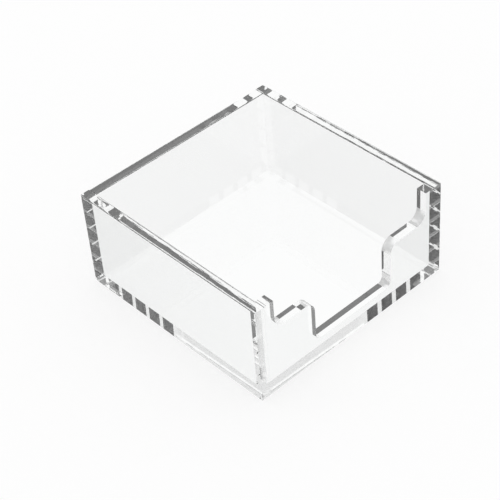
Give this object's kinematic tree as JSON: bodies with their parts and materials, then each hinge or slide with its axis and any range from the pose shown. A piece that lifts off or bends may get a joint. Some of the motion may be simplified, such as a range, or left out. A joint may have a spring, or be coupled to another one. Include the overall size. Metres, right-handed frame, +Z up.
{
  "type": "memo pad holder",
  "caption": "Clear acrylic open-top tray for a square memo pad, with a stepped finger notch in its front wall.",
  "frame": {"origin": "middle of the footprint, on the surface the tray stands on", "axes": "+Z up through the open top, -Y out of the notched front wall, +X towards the right-hand wall"},
  "size_m": [0.1, 0.1, 0.045],
  "materials": {
    "clear_acrylic": "clear colourless cast acrylic, polished faces and flame-polished edges"
  },
  "bodies": {
    "root": {"base_panel": "clear_acrylic", "left_panel": "clear_acrylic", "right_panel": "clear_acrylic", "back_panel": "clear_acrylic", "front_panel": "clear_acrylic"}
  },
  "joints": []
}
